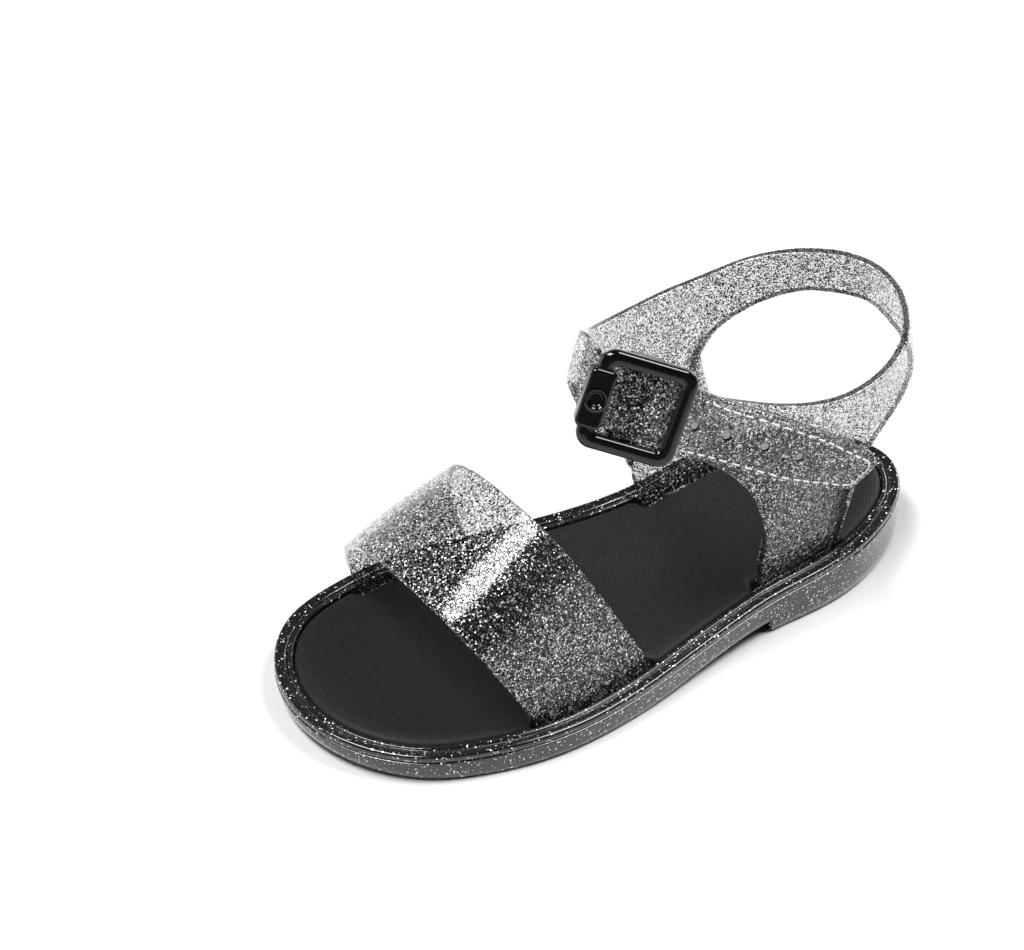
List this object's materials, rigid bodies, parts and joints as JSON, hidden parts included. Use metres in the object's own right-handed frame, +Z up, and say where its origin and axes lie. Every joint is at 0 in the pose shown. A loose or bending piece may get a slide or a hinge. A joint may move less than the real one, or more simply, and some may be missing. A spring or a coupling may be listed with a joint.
{
  "type": "jelly sandal",
  "caption": "Toddler's left jelly sandal in clear smoky glitter vinyl, with a wide toe band, an ankle sling and a square black buckle, fastened and standing empty.",
  "frame": {"origin": "on the ground, in the middle of the footprint's length and width", "axes": "+X towards the outer side of the foot, +Y towards the heel, +Z up; the toe points to -Y"},
  "size_m": [0.0672, 0.15, 0.0781],
  "materials": {
    "glitter_vinyl": "clear smoky vinyl full of silver and black glitter, glossy",
    "insole_cloth": "fine black ribbed cloth, matt",
    "buckle_black": "polished black"
  },
  "bodies": {
    "root": {"outsole": "glitter_vinyl", "insole": "insole_cloth", "vamp_band": "glitter_vinyl", "ankle_sling": "glitter_vinyl", "buckle_frame": "buckle_black", "buckle_clip": "buckle_black"}
  },
  "joints": []
}
